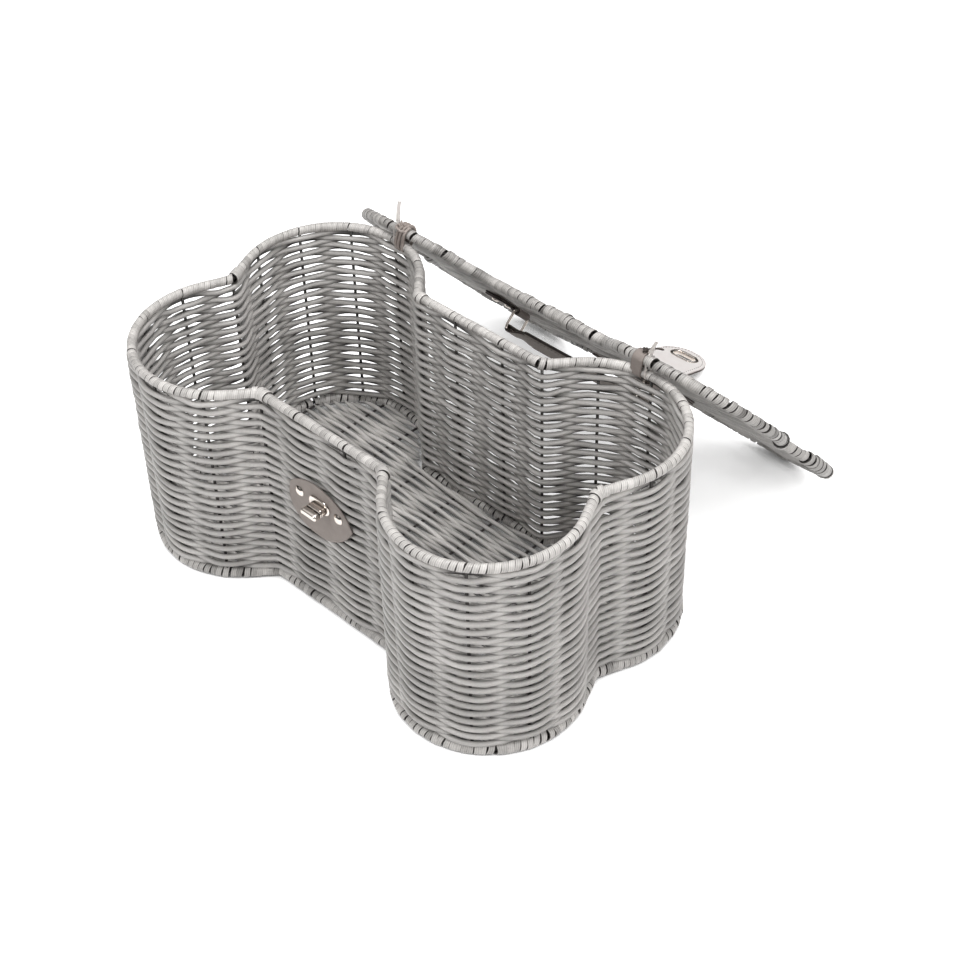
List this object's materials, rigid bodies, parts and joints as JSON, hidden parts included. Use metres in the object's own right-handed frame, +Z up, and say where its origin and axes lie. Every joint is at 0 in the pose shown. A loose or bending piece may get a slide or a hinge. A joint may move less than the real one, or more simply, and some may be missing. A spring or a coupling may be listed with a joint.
{
  "type": "lidded pet toy storage basket",
  "caption": "Bone-shaped woven storage basket with a hinged lid, a strap handle on rings, a leather flap and a turn lock; free-standing.",
  "frame": {"origin": "middle of the basket's base, on the surface that the basket stands on", "axes": "+Z up, X along the bone, -Y towards the front with the turn lock; the open lid leans down behind at +Y"},
  "size_m": [0.3764, 0.4287, 0.198],
  "materials": {
    "wicker_weave": "woven round grey strands, satin",
    "wicker_wrap": "flat pale grey strand wound tightly, satin",
    "frame_wire": "dark coated wire",
    "leather": "smooth taupe leather with raw edges",
    "lining": "cream backing with a stitched edge",
    "nickel": "polished pale metal, slightly warm",
    "nylon": "milky translucent nylon"
  },
  "bodies": {
    "basket": {"basket_frame_wire": "frame_wire", "rim_wrap": "wicker_wrap", "wall_weave": "wicker_weave", "base_border_wrap": "wicker_wrap", "floor_weave": "wicker_weave", "lock_pad": "leather", "lock_base": "nickel", "lock_backing_plate": "nickel", "lock_screw_left": "nickel", "lock_screw_right": "nickel", "lock_nut_left": "nickel", "lock_nut_right": "nickel", "hinge_lashing_left": "leather", "hinge_knot_left": "leather", "hinge_band_right": "leather", "hinge_lace_right": "leather", "nylon_tie_left": "nylon", "nylon_tie_right": "nylon", "nylon_tail_left": "nylon", "nylon_tail_right": "nylon"},
    "lid": {"lid_frame_wire": "frame_wire", "lid_border_wrap": "wicker_wrap", "lid_weave": "wicker_weave", "handle_tab_left": "leather", "handle_tab_right": "leather", "handle_rivet_left_inner": "nickel", "handle_rivet_left_outer": "nickel", "handle_rivet_right_inner": "nickel", "handle_rivet_right_outer": "nickel", "flap_anchor": "leather", "flap_rivet_left": "nickel", "flap_rivet_right": "nickel"},
    "flap": {"flap_leather": "leather", "flap_lining": "lining", "eyelet_front": "nickel", "eyelet_back": "nickel"},
    "lock_knob": {"lock_knob": "nickel", "lock_knob_washer": "nickel"},
    "ring_left": {"handle_ring_left": "nickel"},
    "ring_right": {"handle_ring_right": "nickel"},
    "handle_strap": {"handle_strap": "leather"}
  },
  "joints": [
    {"name": "lid_hinge", "type": "hinge", "parent": "basket", "child": "lid", "pos_m": [0, 0.11095, 0.1694], "axis": [1, 0, 0], "range_deg": [0, 227.5], "deforming": ["nylon_tail_left", "nylon_tail_right", "hinge_lace_right"]},
    {"name": "flap_bend", "type": "hinge", "parent": "lid", "child": "flap", "pos_m": [0, 0.2362, 0.03263], "axis": [1, 0, 0], "range_deg": [-25, 59], "stiffness_Nm_per_rad": 0.05},
    {"name": "lock_turn", "type": "hinge", "parent": "basket", "child": "lock_knob", "pos_m": [0, -0.084, 0.1], "axis": [0, -1, 0], "range_deg": [0, 90]},
    {"name": "ring_left_swing", "type": "hinge", "parent": "lid", "child": "ring_left", "pos_m": [-0.062, 0.18101, 0.08311], "axis": [0, -0.6753, 0.7375], "range_deg": [-65, 65]},
    {"name": "strap_swing", "type": "hinge", "parent": "ring_left", "child": "handle_strap", "pos_m": [-0.062, 0.17069, 0.07365], "axis": [0, -0.6753, 0.7375], "range_deg": [-65, 65]},
    {"name": "ring_right_swing", "type": "hinge", "parent": "lid", "child": "ring_right", "pos_m": [0.062, 0.18101, 0.08311], "axis": [0, -0.6753, 0.7375], "range_deg": [-65, 65]}
  ],
  "couplings": [
    {"joint": "strap_swing", "follows": "ring_left_swing", "ratio": -1},
    {"joint": "ring_right_swing", "follows": "ring_left_swing", "ratio": 1}
  ]
}
